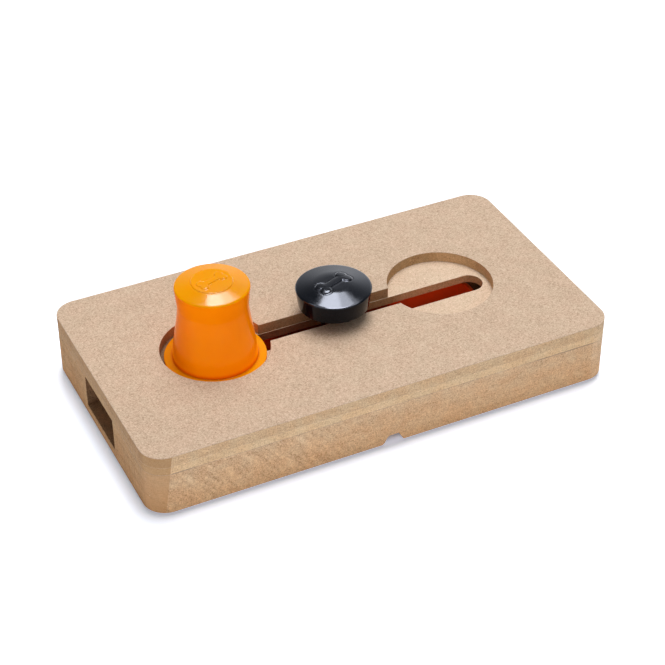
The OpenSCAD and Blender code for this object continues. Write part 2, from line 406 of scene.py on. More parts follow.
def fibreboard_edge(name, base, low=None, z_span=None, marks=0.0, corner=0.0, layer=0.35, contrast=1.0, painted_lip_light=None, shade=None):
    """Sawn edge of fibreboard: pressed layers along the sheet, coarse speckle, slanting sanding marks, upright saw
    streaks on the end faces, a left end face painted darker as painted shade, and routed corners that are smoother than
    the straight edges, the left ones darker partly as painted shade. Optional painted shade and light on routed walls
    and in the channel."""
    m = Mat(name)
    x, y, z = m.xyz(m.p)
    n1, n2, terms = speckle(m, contrast)
    broad = m.noise(m.vec("MULTIPLY", m.p, (0.05, 0.05, 0.12)), 1.0, 3.0, 0.55)
    lay = m.noise(m.vec("MULTIPLY", m.p, (0.10, 0.10, 1.6)), 1.0, 2.0, 0.5)
    lay2 = m.noise(m.vec("MULTIPLY", m.p, (0.035, 0.035, 0.55)), 1.0, 2.0, 0.5)
    terms += [(broad, 0.42), (lay, layer), (lay2, 0.26)]
    if marks:
        left = m.span(x, 10.0, -60.0, 0.15, 1.0, True)
        wobble = m.math("MULTIPLY_ADD", m.noise(m.p, 0.03, 1.0), 9.0, -4.5)
        for c, sn, pitch, w, shift in ((0.656, 0.755, 0.42, 1.0, 0.0), (0.34, 0.94, 0.30, 0.55, 40.0), (-0.62, 0.78, 0.36, 0.35, 90.0)):
            # across and along one family of marks on the front face
            across = m.math("ADD", m.math("MULTIPLY_ADD", z, c, wobble), m.math("MULTIPLY", x, sn))
            along = m.math("ADD", m.math("MULTIPLY", z, -sn), m.math("MULTIPLY", x, c))
            v = m.add("ShaderNodeCombineXYZ", {"X": m.math("MULTIPLY", across, pitch), "Y": m.math("MULTIPLY_ADD", along, 0.045, shift)}).outputs[0]
            st = m.noise(v, 1.0, 2.0, 0.6)
            st = m.math("MULTIPLY_ADD", m.math("SUBTRACT", st, 0.5), m.math("MULTIPLY", left, marks * w), 0.5)
            terms.append((st, 1.0))
    # upright saw streaks on the end faces
    ends = m.span(m.math("ABSOLUTE", x), 148.6, 149.4)
    streak = m.noise(m.vec("MULTIPLY", m.p, (0.2, 0.62, 0.035)), 1.0, 3.0, 0.6)
    terms.append((m.math("MULTIPLY_ADD", m.math("SUBTRACT", streak, 0.5), m.math("MULTIPLY", ends, 0.9), 0.5), 1.0))
    t = fibre_sum(m, terms)
    k = m.ramp(t, GRAIN)
    if low is None:
        mid = base
    else:
        z0, z1 = z_span
        g = m.math("ADD", m.span(z, z0, z1), m.math("MULTIPLY_ADD", broad, 0.4, -0.2), clamp=True)
        warm = (0.99, 0.955, 0.92)
        mid = m.ramp(g, [(0.0, low), (0.10, tuple((0.7 * a + 0.3 * b) * w for a, b, w in zip(low, base, warm))),
                         (0.5, tuple((0.3 * a + 0.7 * b) * w for a, b, w in zip(low, base, warm))), (1.0, base)])
    col = m.mix(1.0, mid, k, "MULTIPLY")
    hue = m.noise(m.vec("ADD", m.p, (5.0, 9.0, 71.0)), 0.12, 1.0, 0.5)
    col = m.mix(m.span(hue, 0.36, 0.64, 0.0, 0.6), col, m.mix(1.0, col, (1.04, 0.94, 0.86), "MULTIPLY"))
    if corner:
        # The routed corners start on a slanting line at the left end, on an upright one at the right. The left corner
        # is darker, partly for its routed finish and partly as painted shade where it turns from the light; the
        # right-front corner is painted lighter and bluer.
        lean = m.math("MULTIPLY_ADD", z, 0.135, -141.3)
        cl = m.span(m.math("SUBTRACT", lean, x), 0.0, 0.35)
        near = m.span(m.math("ABSOLUTE", y), 67.0, 71.0)
        here = m.math("MULTIPLY", cl, near)
        fine = m.noise(m.vec("MULTIPLY", m.p, (0.22, 0.22, 1.5)), 1.0, 3.0, 0.6)
        lo, hi = ((0.74, 0.64, 0.54), (0.97, 0.86, 0.72)) if low else ((0.56, 0.45, 0.33), (0.74, 0.61, 0.46))
        dark = m.mix(1.0, mid, m.ramp(fine, [(0.2, lo), (0.8, hi)]), "MULTIPLY")
        dark = m.mix(0.35, dark, m.mix(1.0, col, (0.88, 0.80, 0.72), "MULTIPLY"))
        col = m.mix(m.math("MULTIPLY", here, corner), col, dark)
        # painted shade: the left end face is darker, as it faces away from the light
        side = m.math("MULTIPLY", m.span(x, -147.4, -148.4), m.span(m.math("ABSOLUTE", y), 72.6, 67.6))
        col = m.mix(m.math("MULTIPLY", side, corner), col, m.mix(1.0, col, (0.725, 0.635, 0.50) if low else (0.665, 0.575, 0.475), "MULTIPLY"))
        # the right-front corner is painted lighter and bluer
        right = m.math("MULTIPLY", m.span(x, 136.2, 137.0), m.span(y, -69.0, -70.0))
        col = m.mix(m.math("MULTIPLY", right, corner), col, m.mix(1.0, col, (1.08, 1.12, 1.20), "MULTIPLY"))
    if corner:
        at = m.span(m.math("ABSOLUTE", m.math("SUBTRACT", z, Z_DECK)), 0.42, 0.18)
        ends_x = m.math("ADD", m.span(x, 94.0, 99.0), m.span(x, -121.0, -125.0), clamp=True)
        ends_x = m.math("MULTIPLY", ends_x, m.span(m.math("ABSOLUTE", x), 137.5, 136.0))
        seam = m.math("MULTIPLY", at, m.math("MULTIPLY", ends_x, m.span(n2, 0.25, 0.5, 0.55, 1.0)))
        col = m.mix(m.math("MULTIPLY", seam, 0.8), col, tone(base, 0.34))
    if shade:
        # painted light and shade on the routed walls: painted light between r_in and r_out, painted shade on the slot
        # walls (inner left of the middle, outer right of it) and on the walls past the left recess (far)
        inner, outer, far, (r_in, r_out, pale) = shade
        col = m.mix(m.math("MULTIPLY", m.span(x, r_in, r_in + 9.0), m.span(x, r_out + 4.0, r_out)), col, m.mix(1.0, col, pale, "MULTIPLY"))
        slot_shade = m.mix(m.span(x, 12.0, -14.0), outer, inner)
        col = m.mix(m.span(x, -84.0, -98.0), col, m.mix(1.0, col, far, "MULTIPLY"))
        col = m.mix(m.span(m.math("ABSOLUTE", y), 11.0, 9.5), col, m.mix(1.0, col, slot_shade, "MULTIPLY"))
    if painted_lip_light:
        # painted shade darkens the channel towards its open ends; the lip edge at each end is painted in a lit colour
        # as painted light
        col = m.scale(col, m.span(m.math("ABSOLUTE", x), 138.0, 149.0, 1.0, 0.72))
        col = m.mix(m.span(m.math("ABSOLUTE", x), 149.55, 149.8), col, m.mix(1.0, painted_lip_light, k, "MULTIPLY"))
    d, _ = m.cells(m.p, 0.17)
    col = m.mix(m.math("MULTIPLY", m.span(d, 0.10, 0.05), 0.28), col, tone(base, 0.42))
    d2, _ = m.cells(m.vec("ADD", m.p, (3.0, 41.0, 8.0)), 0.13)
    col = m.mix(m.math("MULTIPLY", m.span(d2, 0.085, 0.04), 0.45), col, tone(base, 1.45))
    height = m.math("ADD", n1, m.math("ADD", m.math("MULTIPLY", n2, 0.8), m.math("MULTIPLY", lay, 0.7)))
    return m.shade(Base_Color=col, Roughness=m.span(n2, 0.3, 0.7, 0.76, 0.93),
                   Specular_IOR_Level=0.2, Normal=m.bump(height, 0.35, 0.00016))


def orange_plastic(name, dark, mid, pale, up=None, glow=None, inner=None):
    """Glossy moulded plastic with slight colour drift and faint flow waviness. On the cup, level faces are painted
    paler and yellower as painted light, the left flank and the flange root are painted darker as painted shade, the top
    is the glossiest, the band above the waist the least, and a painted glow towards the base stands in for light let
    through the thin wall. On the drawer the middle is painted darker as painted shade."""
    m = Mat(name)
    x, y, z = m.xyz(m.p)
    n = m.noise(m.p, 0.05, 3.0)
    f = m.noise(m.p, 2.4, 2.0)
    col = m.ramp(m.math("MULTIPLY_ADD", m.math("SUBTRACT", f, 0.5), 0.14, n), [(0.25, dark), (0.5, mid), (0.75, pale)])
    w = m.noise(m.p, 0.11, 2.0, 0.4)
    ins = dict(Roughness=m.span(m.noise(m.p, 0.4, 3.0), 0.3, 0.7, 0.10, 0.16),
               Subsurface_Weight=0.2, Subsurface_Radius=(1.0, 0.35, 0.03),
               Subsurface_Scale=0.0012, Normal=m.bump(w, 0.10, 0.0005))
    if inner:
        # painted shade: the drawer's middle, deep under the top and the knob, is painted darker
        dx = m.math("SUBTRACT", x, SLIDE_X)
        middle_shade = m.math("MULTIPLY", m.span(dx, -37.0, -27.0), m.span(dx, 52.0, 46.0))
        col = m.mix(middle_shade, col, m.mix(1.0, col, inner, "MULTIPLY"))
    if up:
        nz = m.xyz(m.add("ShaderNodeTexCoord").outputs["Normal"])[2]
        # painted light: level faces take the paler, yellower up colour, as they are lit more strongly than the sides
        level = m.span(nz, 0.12, 0.62)
        painted_light_up = m.ramp(n, [(0.25, tone(up, 0.975)), (0.75, tone(up, 1.02))])
        col = m.mix(level, col, painted_light_up)
        rx = m.math("ADD", x, RECESS_X)
        # painted shade: the left flank, turned away from the light, is a deeper and darker orange, most of all near the
        # base
        u = m.math("SUBTRACT", m.math("MULTIPLY", rx, 0.901), m.math("MULTIPLY", y, 0.434))
        left_shade = m.math("MULTIPLY", m.span(u, -9.0, -24.0), m.span(z, 84.0, 44.0, 0.75, 1.0))
        left_shade = m.math("MULTIPLY", left_shade, m.math("SUBTRACT", 1.0, m.math("MULTIPLY", level, m.span(z, 38.0, 60.0, 0.35, 1.0))))
        col = m.mix(left_shade, col, m.mix(1.0, col, (0.84, 0.58, 0.45), "MULTIPLY"))
        r = m.math("SQRT", m.math("ADD", m.math("MULTIPLY", rx, rx), m.math("MULTIPLY", y, y)))
        # painted shade in the crease where the cup meets its flange: darker and redder
        root_shade = m.math("MULTIPLY", m.span(r, 27.0, 25.6), m.span(z, 40.6, 38.4))
        col = m.mix(m.math("MULTIPLY", root_shade, 0.8), col, m.mix(1.0, col, (0.92, 0.50, 0.4), "MULTIPLY"))
        top = m.math("MULTIPLY", m.span(z, 84.9, 86.9), m.span(r, 21.5, 20.7))
        waist = m.math("MULTIPLY", m.span(z, 74.15, 73.85, 0.02, 0.14), m.span(left_shade, 0.0, 1.0, 1.0, 0.55))
        ins["Specular_IOR_Level"] = m.math("MULTIPLY_ADD", top, m.span(y, 0.0, -11.0, 0.13, 0.57), waist)
    else:
        ins["Specular_IOR_Level"] = 0.12
        ins["Roughness"] = m.span(m.noise(m.p, 0.4, 3.0), 0.3, 0.7, 0.34, 0.44)
    if glow:
        # painted glow: an emission that stands in for light let through the thin wall, strongest towards the base, none
        # on level faces and less on the left flank
        low = m.math("ADD", m.span(z, 40.0, 62.0, 0.16, 0.0), m.span(z, 40.0, 86.0, 0.16, 0.03))
        low = m.math("ADD", low, m.span(z, 76.0, 70.0, 0.0, 0.045))
        ins["Emission_Color"] = (*glow, 1.0)
        ins["Emission_Strength"] = m.math("MULTIPLY", low, m.math("MULTIPLY", m.span(z, 37.4, 40.0), m.math("MULTIPLY", m.span(left_shade, 0.0, 1.0, 1.0, 0.55), m.math("SUBTRACT", 1.0, level))))
    return m.shade(Base_Color=col, **ins)


def black_plastic(name):
    m = Mat(name)
    x, y, z = m.xyz(m.p)
    n = m.noise(m.p, 0.06, 3.0)
    f = m.noise(m.p, 3.0, 2.0)
    col = m.ramp(m.math("MULTIPLY_ADD", m.math("SUBTRACT", f, 0.5), 0.3, n),
                 [(0.25, (0.0022, 0.0028, 0.0042)), (0.5, (0.0034, 0.0042, 0.0062)), (0.75, (0.005, 0.006, 0.0085))])
    w = m.noise(m.p, 0.10, 2.0, 0.4)
    kx = m.math("SUBTRACT", x, SLIDE_X)
    r = m.math("SQRT", m.math("ADD", m.math("MULTIPLY", kx, kx), m.math("MULTIPLY", y, y)))
    rings = m.noise(m.add("ShaderNodeCombineXYZ", {"X": r, "Y": m.math("MULTIPLY", kx, 0.02), "Z": m.math("MULTIPLY", y, 0.02)}).outputs[0], 1.3, 2.0, 0.6)
    w = m.math("MULTIPLY_ADD", rings, m.span(z, 61.2, 62.4, 0.0, 0.05), w)
    worn = m.math("ADD", m.span(m.noise(m.p, 0.5, 3.0), 0.3, 0.7, 0.09, 0.13), m.span(r, 19.0, 9.0, 0.0, 0.03))
    return m.shade(Base_Color=col, Roughness=worn,
                   Specular_IOR_Level=m.span(z, 61.0, 61.5, 0.15, 0.86), Specular_Tint=(0.79, 0.84, 1.0, 1.0),
                   Normal=m.bump(w, 0.10, 0.0004))


def zinc_steel(name):
    m = Mat(name)
    g = m.noise(m.vec("MULTIPLY", m.p, (1.0, 1.0, 4.0)), 0.9, 3.0, 0.6)
    col = m.ramp(g, [(0.2, (0.42, 0.42, 0.43)), (0.5, (0.60, 0.60, 0.61)), (0.8, (0.72, 0.72, 0.71))])
    return m.shade(Base_Color=col, Metallic=1.0, Roughness=m.span(g, 0.3, 0.7, 0.28, 0.45),
                   Normal=m.bump(m.noise(m.p, 5.0, 2.0), 0.15, 0.00005))


def foot_rubber(name):
    m = Mat(name)
    g = m.noise(m.p, 2.2, 3.0, 0.6)
    col = m.ramp(g, [(0.25, (0.018, 0.018, 0.018)), (0.75, (0.045, 0.044, 0.043))])
    return m.shade(Base_Color=col, Roughness=m.span(g, 0.3, 0.7, 0.65, 0.85),
                   Specular_IOR_Level=0.35, Normal=m.bump(g, 0.3, 0.0001))


FACE = (0.449, 0.329, 0.236)
DECK = (0.532, 0.396, 0.285)
TOP_EDGE = (0.488, 0.333, 0.187)
DECK_EDGE = (0.553, 0.384, 0.218)
CORE_HI = (0.503, 0.340, 0.196)
CORE_LO = (0.560, 0.340, 0.170)
CUT = (0.495, 0.325, 0.172)

m_face = fibreboard_face("fibreboard_face_sanded", FACE)
# the deck carries painted shade in the gap round the cup
m_deck = fibreboard_face("fibreboard_deck_sanded", DECK, 0.8, gap_shade=True)
m_under = fibreboard_face("fibreboard_underside", tone(FACE, 0.92))
# corner=1.0 adds the corner tones, the painted shade on the left end face and the dark layer seams
m_top_edge = fibreboard_edge("fibreboard_top_edge", TOP_EDGE, corner=1.0, contrast=1.15)
m_deck_edge = fibreboard_edge("fibreboard_deck_edge", DECK_EDGE, corner=1.0)
m_core_edge = fibreboard_edge("fibreboard_core_edge", CORE_HI, CORE_LO, (2.0, 30.0), marks=1.0, corner=1.0, contrast=1.2)
# routed walls: painted shade on the slot walls and the far left recess wall, painted light towards the right
m_cut = fibreboard_edge("fibreboard_routed_wall", CUT, layer=0.5, shade=((0.78, 0.743, 0.726), (0.90, 0.85, 0.83), (0.60, 0.60, 0.57), (84.0, 140.0, (1.26, 1.25, 1.27))))
m_cut_deck = fibreboard_edge("fibreboard_routed_deck", (0.455, 0.292, 0.148), layer=0.4, shade=((0.51, 0.36, 0.34), (1.0, 1.0, 1.0), (1.0, 1.0, 1.0), (46.0, 97.0, (1.36, 1.33, 1.42))))
# the channel's dark colour is painted shade for its unlit inside
m_channel_shade = fibreboard_edge("fibreboard_channel_painted_shade", (0.262, 0.138, 0.064), layer=0.5, painted_lip_light=(0.50, 0.32, 0.18), contrast=1.5)
# the cup's plastic: painted light on level faces, painted shade on the left flank and at the flange, and a painted glow
# towards the base
m_orange = orange_plastic("orange_moulded_plastic", (0.93, 0.206, 0.0002), (0.95, 0.220, 0.0003), (0.965, 0.234, 0.0005),
                          up=(0.672, 0.248, 0.0004), glow=(1.0, 0.225, 0.0))
# the drawer is the cup's orange painted redder and darker, painted shade for the deep channel it runs in
m_drawer_shaded = orange_plastic("drawer_moulded_plastic", (0.81, 0.124, 0.019), (0.85, 0.137, 0.023), (0.89, 0.150, 0.027),
                          inner=(0.33, 0.30, 0.30))
m_black = black_plastic("black_moulded_plastic")
m_zinc = zinc_steel("zinc_plated_steel")
m_rubber = foot_rubber("foot_rubber_matt")

# -------------------------------------------------------------------- board
HX, HY = BOARD_L / 2, BOARD_W / 2
OUTLINE = round_rect(-HX, -HY, HX, HY, (CORNER,) * 4)


def dumbbell():
    """Two round recesses joined by the slot, clockwise."""
    h = SLOT_TOP_W / 2
    a = math.asin(h / RECESS_R)
    right = arc(RECESS_X, 0, RECESS_R, math.pi - a, -math.pi + a, 120)
    left = arc(-RECESS_X, 0, RECESS_R, -a, -TAU + a, 120)
    return right + left


def long_hole(l, w, cy=0.0, n=40):
    """Clockwise slot with round ends."""
    c, r = (l - w) / 2, w / 2
    return arc(c, cy, r, math.pi / 2, -math.pi / 2, n) + arc(-c, cy, r, -math.pi / 2, -1.5 * math.pi, n)


top_sheet = sheet("top_sheet", OUTLINE, [dumbbell()], Z_TOP, Z_FACE,
                  [m_face, m_top_edge, m_cut, m_under], (0.10, 0.45), (0.08, 0.28))
deck_sheet = sheet("deck_sheet", OUTLINE, [long_hole(SLOT_L, SLOT_DECK_W, -0.2)], Z_DECK, Z_TOP,
                   [m_deck, m_deck_edge, m_cut_deck, m_under], (0.16, 0.06), (0.12, 0.07))
front_bar = sheet("core_bar_front", round_rect(-HX, -HY, HX, CHAN_Y0, (CORNER, CORNER, 0.3, 0.3)), [],
                  Z_CORE, Z_DECK, [m_under, m_core_edge, m_cut, m_under], (0.02, 0.16), (0.1, 0.1))
back_bar = sheet("core_bar_back", round_rect(-HX, CHAN_Y1, HX, HY, (0.3, 0.3, CORNER, CORNER)), [],
                 Z_CORE, Z_DECK, [m_under, m_core_edge, m_cut, m_under], (0.02, 0.16), (0.1, 0.1))


def inside_channel(ob, slot):
    """Gives the faces that line the channel the dark channel material, painted shade for the unlit inside."""
    for f in ob.data.polygons:
        c, nz = f.center, f.normal.z
        if abs(f.normal.y) > 0.9 and (abs(c.y / MM - CHAN_Y0) < 0.2 or abs(c.y / MM - CHAN_Y1) < 0.2):
            f.material_index = slot


for bar in (front_bar, back_bar):
    bar.data.materials[2] = m_channel_shade
    inside_channel(bar, 2)


def base_sheet():
    """Bottom panel: finger notch in the front edge, countersunk screw holes."""
    m = Mesher()
    zl = [0.0, 0.26, 0.71, 1.54, 2.78, 4.2, 5.3, 5.75, 6.0]
    xl = [-5.7, -5.42, -4.77, -3.73, -3.16, -2.35, -1.55, -0.9, -0.4]

    def outline(z):
        a = float(np.interp(z - Z_BOTTOM, zl, xl))
        b = float(np.interp(z - Z_BOTTOM, [0.0, 6.0], [8.25, 4.95]))
        y0, y1, r = -HY, -HY + 12.0, 1.4
        fl = arc(-HX + CORNER, -HY + CORNER, CORNER, math.pi, 1.5 * math.pi, 18)
        notch = [(a - 0.5, y0), (a, y0 + 0.5)] + arc(a + r, y1 - r, r, math.pi, math.pi / 2, 6)
        notch += arc(b - r, y1 - r, r, math.pi / 2, 0.0, 6) + [(b, y0 + 0.5), (b + 0.5, y0)]
        rest = (arc(HX - CORNER, -HY + CORNER, CORNER, 1.5 * math.pi, TAU, 18)
                + arc(HX - CORNER, HY - CORNER, CORNER, 0.0, 0.5 * math.pi, 18)
                + arc(-HX + CORNER, HY - CORNER, CORNER, 0.5 * math.pi, math.pi, 18))
        return fl + notch + rest

    levels = [(Z_BOTTOM, 0.9)] + edge_rings(Z_BOTTOM, Z_CORE, 0.5, 0.02)
    wall = [v for v in levels if v[0] <= Z_BOTTOM + 0.5001]
    wall += [(Z_BOTTOM + h, 0.0) for h in (0.9, 1.54, 2.2, 2.78, 3.5, 4.2, 4.8, 5.3, 5.6, 5.8)]
    wall += [v for v in levels if v[0] > Z_CORE - 0.03] + [(Z_CORE, 0.4)]
    made = [m.ring(inset(outline(z), d), z) for z, d in wall]
    for a, b in zip(made, made[1:]):
        m.strip(a, b, 1)
    lows, highs = [made[0]], [made[-1]]
    for x in (-SCREW_X, 0.0, SCREW_X):
        for s in (-1, 1):
            prof = [(Z_BOTTOM, 4.0), (Z_BOTTOM, 3.62), (Z_BOTTOM + 0.12, 3.5), (Z_BOTTOM + 1.75, 1.85),
                    (Z_BOTTOM + 1.95, 1.8), (Z_CORE - 0.05, 1.8), (Z_CORE, 1.85)]
            rr = [m.ring(circle(x, s * SCREW_Y, r, 40), z) for z, r in prof]
            for a, b in zip(rr, rr[1:]):
                m.strip(a, b, 2)
            lows.append(rr[0]); highs.append(rr[-1])
    m.cap(highs, 0)
    m.cap(lows, 3)
    m.bm.normal_update()
    for f in m.bm.faces:
        if abs(f.normal.z) > 0.999:
            f.material_index = 0 if f.calc_center_median().z > 5 * MM else 3
    return weighted(m.done("base_sheet", [m_channel_shade, m_core_edge, m_cut, m_under]))


bottom = base_sheet()


def foot_pads():
    m = Mesher()
    prof = rounded_path([(0.0, 0.05, 0), (7.2, 0.05, 0.2), (7.5, 0.0, 0.2), (8.2, 0.0, 0.5), (9.0, 0.9, 0.7), (9.0, 2.0, 0)], 4)
    for sx in (-1, 1):
        for sy in (-1, 1):
            ang = np.linspace(0, TAU, 72, endpoint=False)
            rings = [m.ring(polar(sx * FOOT_X, sy * FOOT_Y, r, ang), z) for r, z in prof[1:]]
            for a, b in zip(rings, rings[1:]):
                m.strip(a, b)
            m.fan(rings[0], (sx * FOOT_X, sy * FOOT_Y, prof[0][1]))
            m.fan(rings[-1], (sx * FOOT_X, sy * FOOT_Y, 2.0))
    return weighted(m.done("foot_pads", [m_rubber]))


feet = foot_pads()


# ------------------------------------------------------------------- drawer
def tray():
    """Two low-ended pockets, tall side walls in the middle, a web that carries the knob."""
    m = Mesher()
    t, bay, cross = DRAWER_T, BAY_L / 2, BAY_L / 2 + DRAWER_T
    hx, hy, floor = DRAWER_L / 2, DRAWER_W / 2, Z_DRAWER + DRAWER_T
    marks = [cross, TALL_L / 2, TALL_L / 2 + 1.5, TALL_L / 2 + SLOPE_L - 1.5, TALL_L / 2 + SLOPE_L]

    def loop(d):
        """Outline set in by d, with the same points for every d."""
        r, x1, y1 = 6.0 - d, hx - d, hy - d
        pts = [(x, -y1) for x in [-q for q in marks[::-1]] + marks]
        pts += arc(x1 - r, -y1 + r, r, -0.5 * math.pi, 0.0, 10) + arc(x1 - r, y1 - r, r, 0.0, 0.5 * math.pi, 10)
        pts += [(x, y1) for x in marks[::-1] + [-q for q in marks]]
        pts += arc(-x1 + r, y1 - r, r, 0.5 * math.pi, math.pi, 10) + arc(-x1 + r, -y1 + r, r, math.pi, 1.5 * math.pi, 10)
        return pts

    def top(x):
        q = min(1.0, max(0.0, (abs(x) - TALL_L / 2) / SLOPE_L))
        return Z_RIM + (Z_WEB - Z_RIM) * (0.6 * q + 0.4 * q * q * (3 - 2 * q))

    def ring(pts, z):
        return m.ring([(x + SLIDE_X, y + CHAN_DY, z(x) if callable(z) else z) for x, y in pts])

    rows = [ring(loop(d), Z_DRAWER + z) for d, z in ((0.9, 0.0), (0.5, 0.0), (0.35, 0.03), (0.15, 0.15), (0.03, 0.35), (0.0, 0.5))]
    for d, h in ((0.0, 0.5), (0.04, 0.31), (0.15, 0.15), (0.31, 0.04), (0.5, 0.0), (t - 0.5, 0.0), (t - 0.31, 0.04), (t - 0.15, 0.15), (t - 0.04, 0.31)):
        rows.append(ring(loop(d), lambda x, h=h: top(x) - h))
    inner = loop(t)
    rim = ring(inner, lambda x: top(x) - 0.5)
    rows.append(rim)
    for a, b in zip(rows, rows[1:]):
        m.strip(a, b)

    def face(vs):
        f = m.bm.faces.new(vs)
        f.smooth = True

    n = len(inner)
    f_in = 1.2
    web, low = {}, {}
    for i, (x, y) in enumerate(inner):
        if abs(x) <= cross + 1e-6:
            web[i] = ring([(x, y)], Z_WEB)[0]
        if abs(x) >= cross - 1e-6:
            low[i] = ring([(x, y)], floor + f_in)[0]
    for i in range(n):
        j = (i + 1) % n
        if i in low and j in low:
            if i in web:
                face((rim[i], rim[j], low[j], low[i], web[i]))
            elif j in web:
                face((rim[i], rim[j], web[j], low[j], low[i]))
            else:
                face((rim[i], rim[j], low[j], low[i]))
        else:
            face((rim[i], rim[j], web[j], web[i]))
    for s in (-1, 1):
        ids = [i for i in range(n) if inner[i][0] * s >= cross - 1e-6]
        k = next(q for q in range(len(ids)) if (ids[q] - ids[q - 1]) % n != 1)
        ids = ids[k:] + ids[:k]
        a, b = ids[0], ids[-1]
        face((web[a], low[a], low[b], web[b]))
        edge = [low[i] for i in ids]
        pts = [inner[i] for i in ids]
        prev = edge
        for q in (0.25, 0.5, 0.75, 1.0):
            an = q * math.pi / 2
            here = ring(inset(pts, f_in * (1 - math.cos(an))), floor + f_in * (1 - math.sin(an)))
            m.strip(prev, here)
            prev = here
        last = ring(inset(pts, f_in + 0.4), floor)
        m.strip(prev, last)
        m.cap([last])
    hole = [m.ring(circle(SLIDE_X, 0.0, r, 32), z) for z, r in
            ((Z_WEB, 2.3), (Z_WEB - 0.1, 2.2), (Z_WEB - WEB_T + 0.1, 2.2), (Z_WEB - WEB_T, 2.3))]
    for a, b in zip(hole, hole[1:]):
        m.strip(a, b)
    corner = [web[i] for i in sorted(web)]
    m.cap([corner, hole[0]])
    x0, y0 = SLIDE_X, CHAN_DY
    lower = round_rect(x0 - bay, y0 - hy + t, x0 + bay, y0 + hy - t, (1.2,) * 4, 6)[::-1]
    zc = Z_WEB - WEB_T
    rr = [(Z_DRAWER, 0.5), (Z_DRAWER, 0.3), (Z_DRAWER + 0.3, 0.0)]
    rr += [(zc - 0.8 + 0.8 * math.sin(q), -0.8 + 0.8 * math.cos(q)) for q in np.linspace(0, math.pi / 2, 5)] + [(zc, -1.2)]
    a, b = m.wall(lower, rr)
    m.cap([rows[0], a])
    m.cap([b, hole[-1]])
    return weighted(m.done("treat_drawer", [m_drawer_shaded]))


drawer = tray()


# --------------------------------------------------------------------- knob
def make_knob():
    m = Mesher()
    cx = SLIDE_X
    z0, z1, dome, rim_r, low_r = 49.6, 62.0, 2.7, 23.2, 21.45
    stem_r, wall, z_ceil, z_rib = 7.75, 2.2, 59.4, 53.6
    bay = 40
    n = 6 * bay
    even = np.array([math.radians(30) + TAU * i / n for i in range(n)])

    def ribbed(r):
        """Angles whose columns follow the sides of six ribs of even width at radius r."""
        a = math.asin(min(0.95, 0.8 / r))
        b = math.asin(min(0.97, 0.95 / r))
        one = np.concatenate([np.linspace(-a, a, 9), np.linspace(b, TAU / 6 - b, bay - 9)])
        return np.concatenate([math.radians(30) + k * TAU / 6 + one for k in range(6)])

    on_rib = np.array([1.0 if i % bay < 9 else 0.0 for i in range(n)])
    flat, r0, blend = rim_r - 1.05, 9.6, 3.2

    def dome_z(r, x, y):
        run = max(0.0, r - r0 + blend) ** 2 / (4 * blend) if r < r0 + blend else r - r0
        z = z1 + dome * (1 - run / (flat - r0))
        d = bone_distance(x - cx, y, 24.0, 11.0, math.radians(20))
        lift = 0.52 * smoothstep(0.42, -0.42, d) + 0.10 * smoothstep(0.0, -2.4, d) - 0.10 * np.exp(-((d - 0.75) / 0.42) ** 2)
        return z + np.minimum(lift, 0.6)

    rows = []
    for r in list(np.linspace(0.35, 13.6, 64)) + list(np.linspace(14.0, flat, 26)):
        q = polar(cx, 0.0, r, even)
        rows.append(np.c_[q, dome_z(r, q[:, 0], q[:, 1])])
    side = rounded_path([(flat, z1, 0), (flat + 0.68, z1 - 0.29, 0.35), (rim_r, z1 - 0.80, 0.55), (low_r, z0, 0.7), (low_r - wall, z0, 0.7),
                         (rim_r - wall - 0.85, z_rib - 0.2, 0)], 8)
    for r, z in side[1:]:
        rows.append(np.c_[polar(cx, 0.0, r, even), np.full(n, z)])
    r_in = rim_r - wall - 0.9
    top_z = z_ceil + (z_rib - z_ceil) * on_rib
    rows.append(np.c_[polar(cx, 0.0, r_in, ribbed(r_in)), z_rib + (top_z - z_rib) * 0.0])
    rows.append(np.c_[polar(cx, 0.0, r_in, ribbed(r_in)), z_rib + (top_z - z_rib) * 0.5])
    rows.append(np.c_[polar(cx, 0.0, r_in - 0.05, ribbed(r_in - 0.05)), z_rib + (top_z - z_rib) * 0.94])
    for r in np.linspace(r_in - 0.4, stem_r + 0.5, 14):
        rows.append(np.c_[polar(cx, 0.0, r, ribbed(r)), top_z])
    rows.append(np.c_[polar(cx, 0.0, stem_r, ribbed(stem_r)), top_z - 0.5])
    for z in (53.0, 52.0):
        rows.append(np.c_[polar(cx, 0.0, stem_r, ribbed(stem_r) if z > 52.5 else even), np.full(n, z)])
    low = rounded_path([(stem_r, 51.0, 0), (stem_r, Z_WEB, 0.6), (1.8, Z_WEB, 0.15), (1.8, Z_WEB + 20.0, 0.4), (0.3, Z_WEB + 20.3, 0)], 5)
    for r, z in low:
        rows.append(np.c_[polar(cx, 0.0, r, even), np.full(n, z)])
    rings = [m.ring(p) for p in rows]
    for a, b in zip(rings, rings[1:]):
        m.strip(a, b)
    c0 = float(dome_z(0.0, np.array([cx]), np.array([0.0]))[0])
    m.fan(rings[0], (cx, 0.0, c0))
    m.fan(rings[-1], (cx, 0.0, Z_WEB + 20.3))
    return m.done("slide_knob", [m_black])


knob = make_knob()


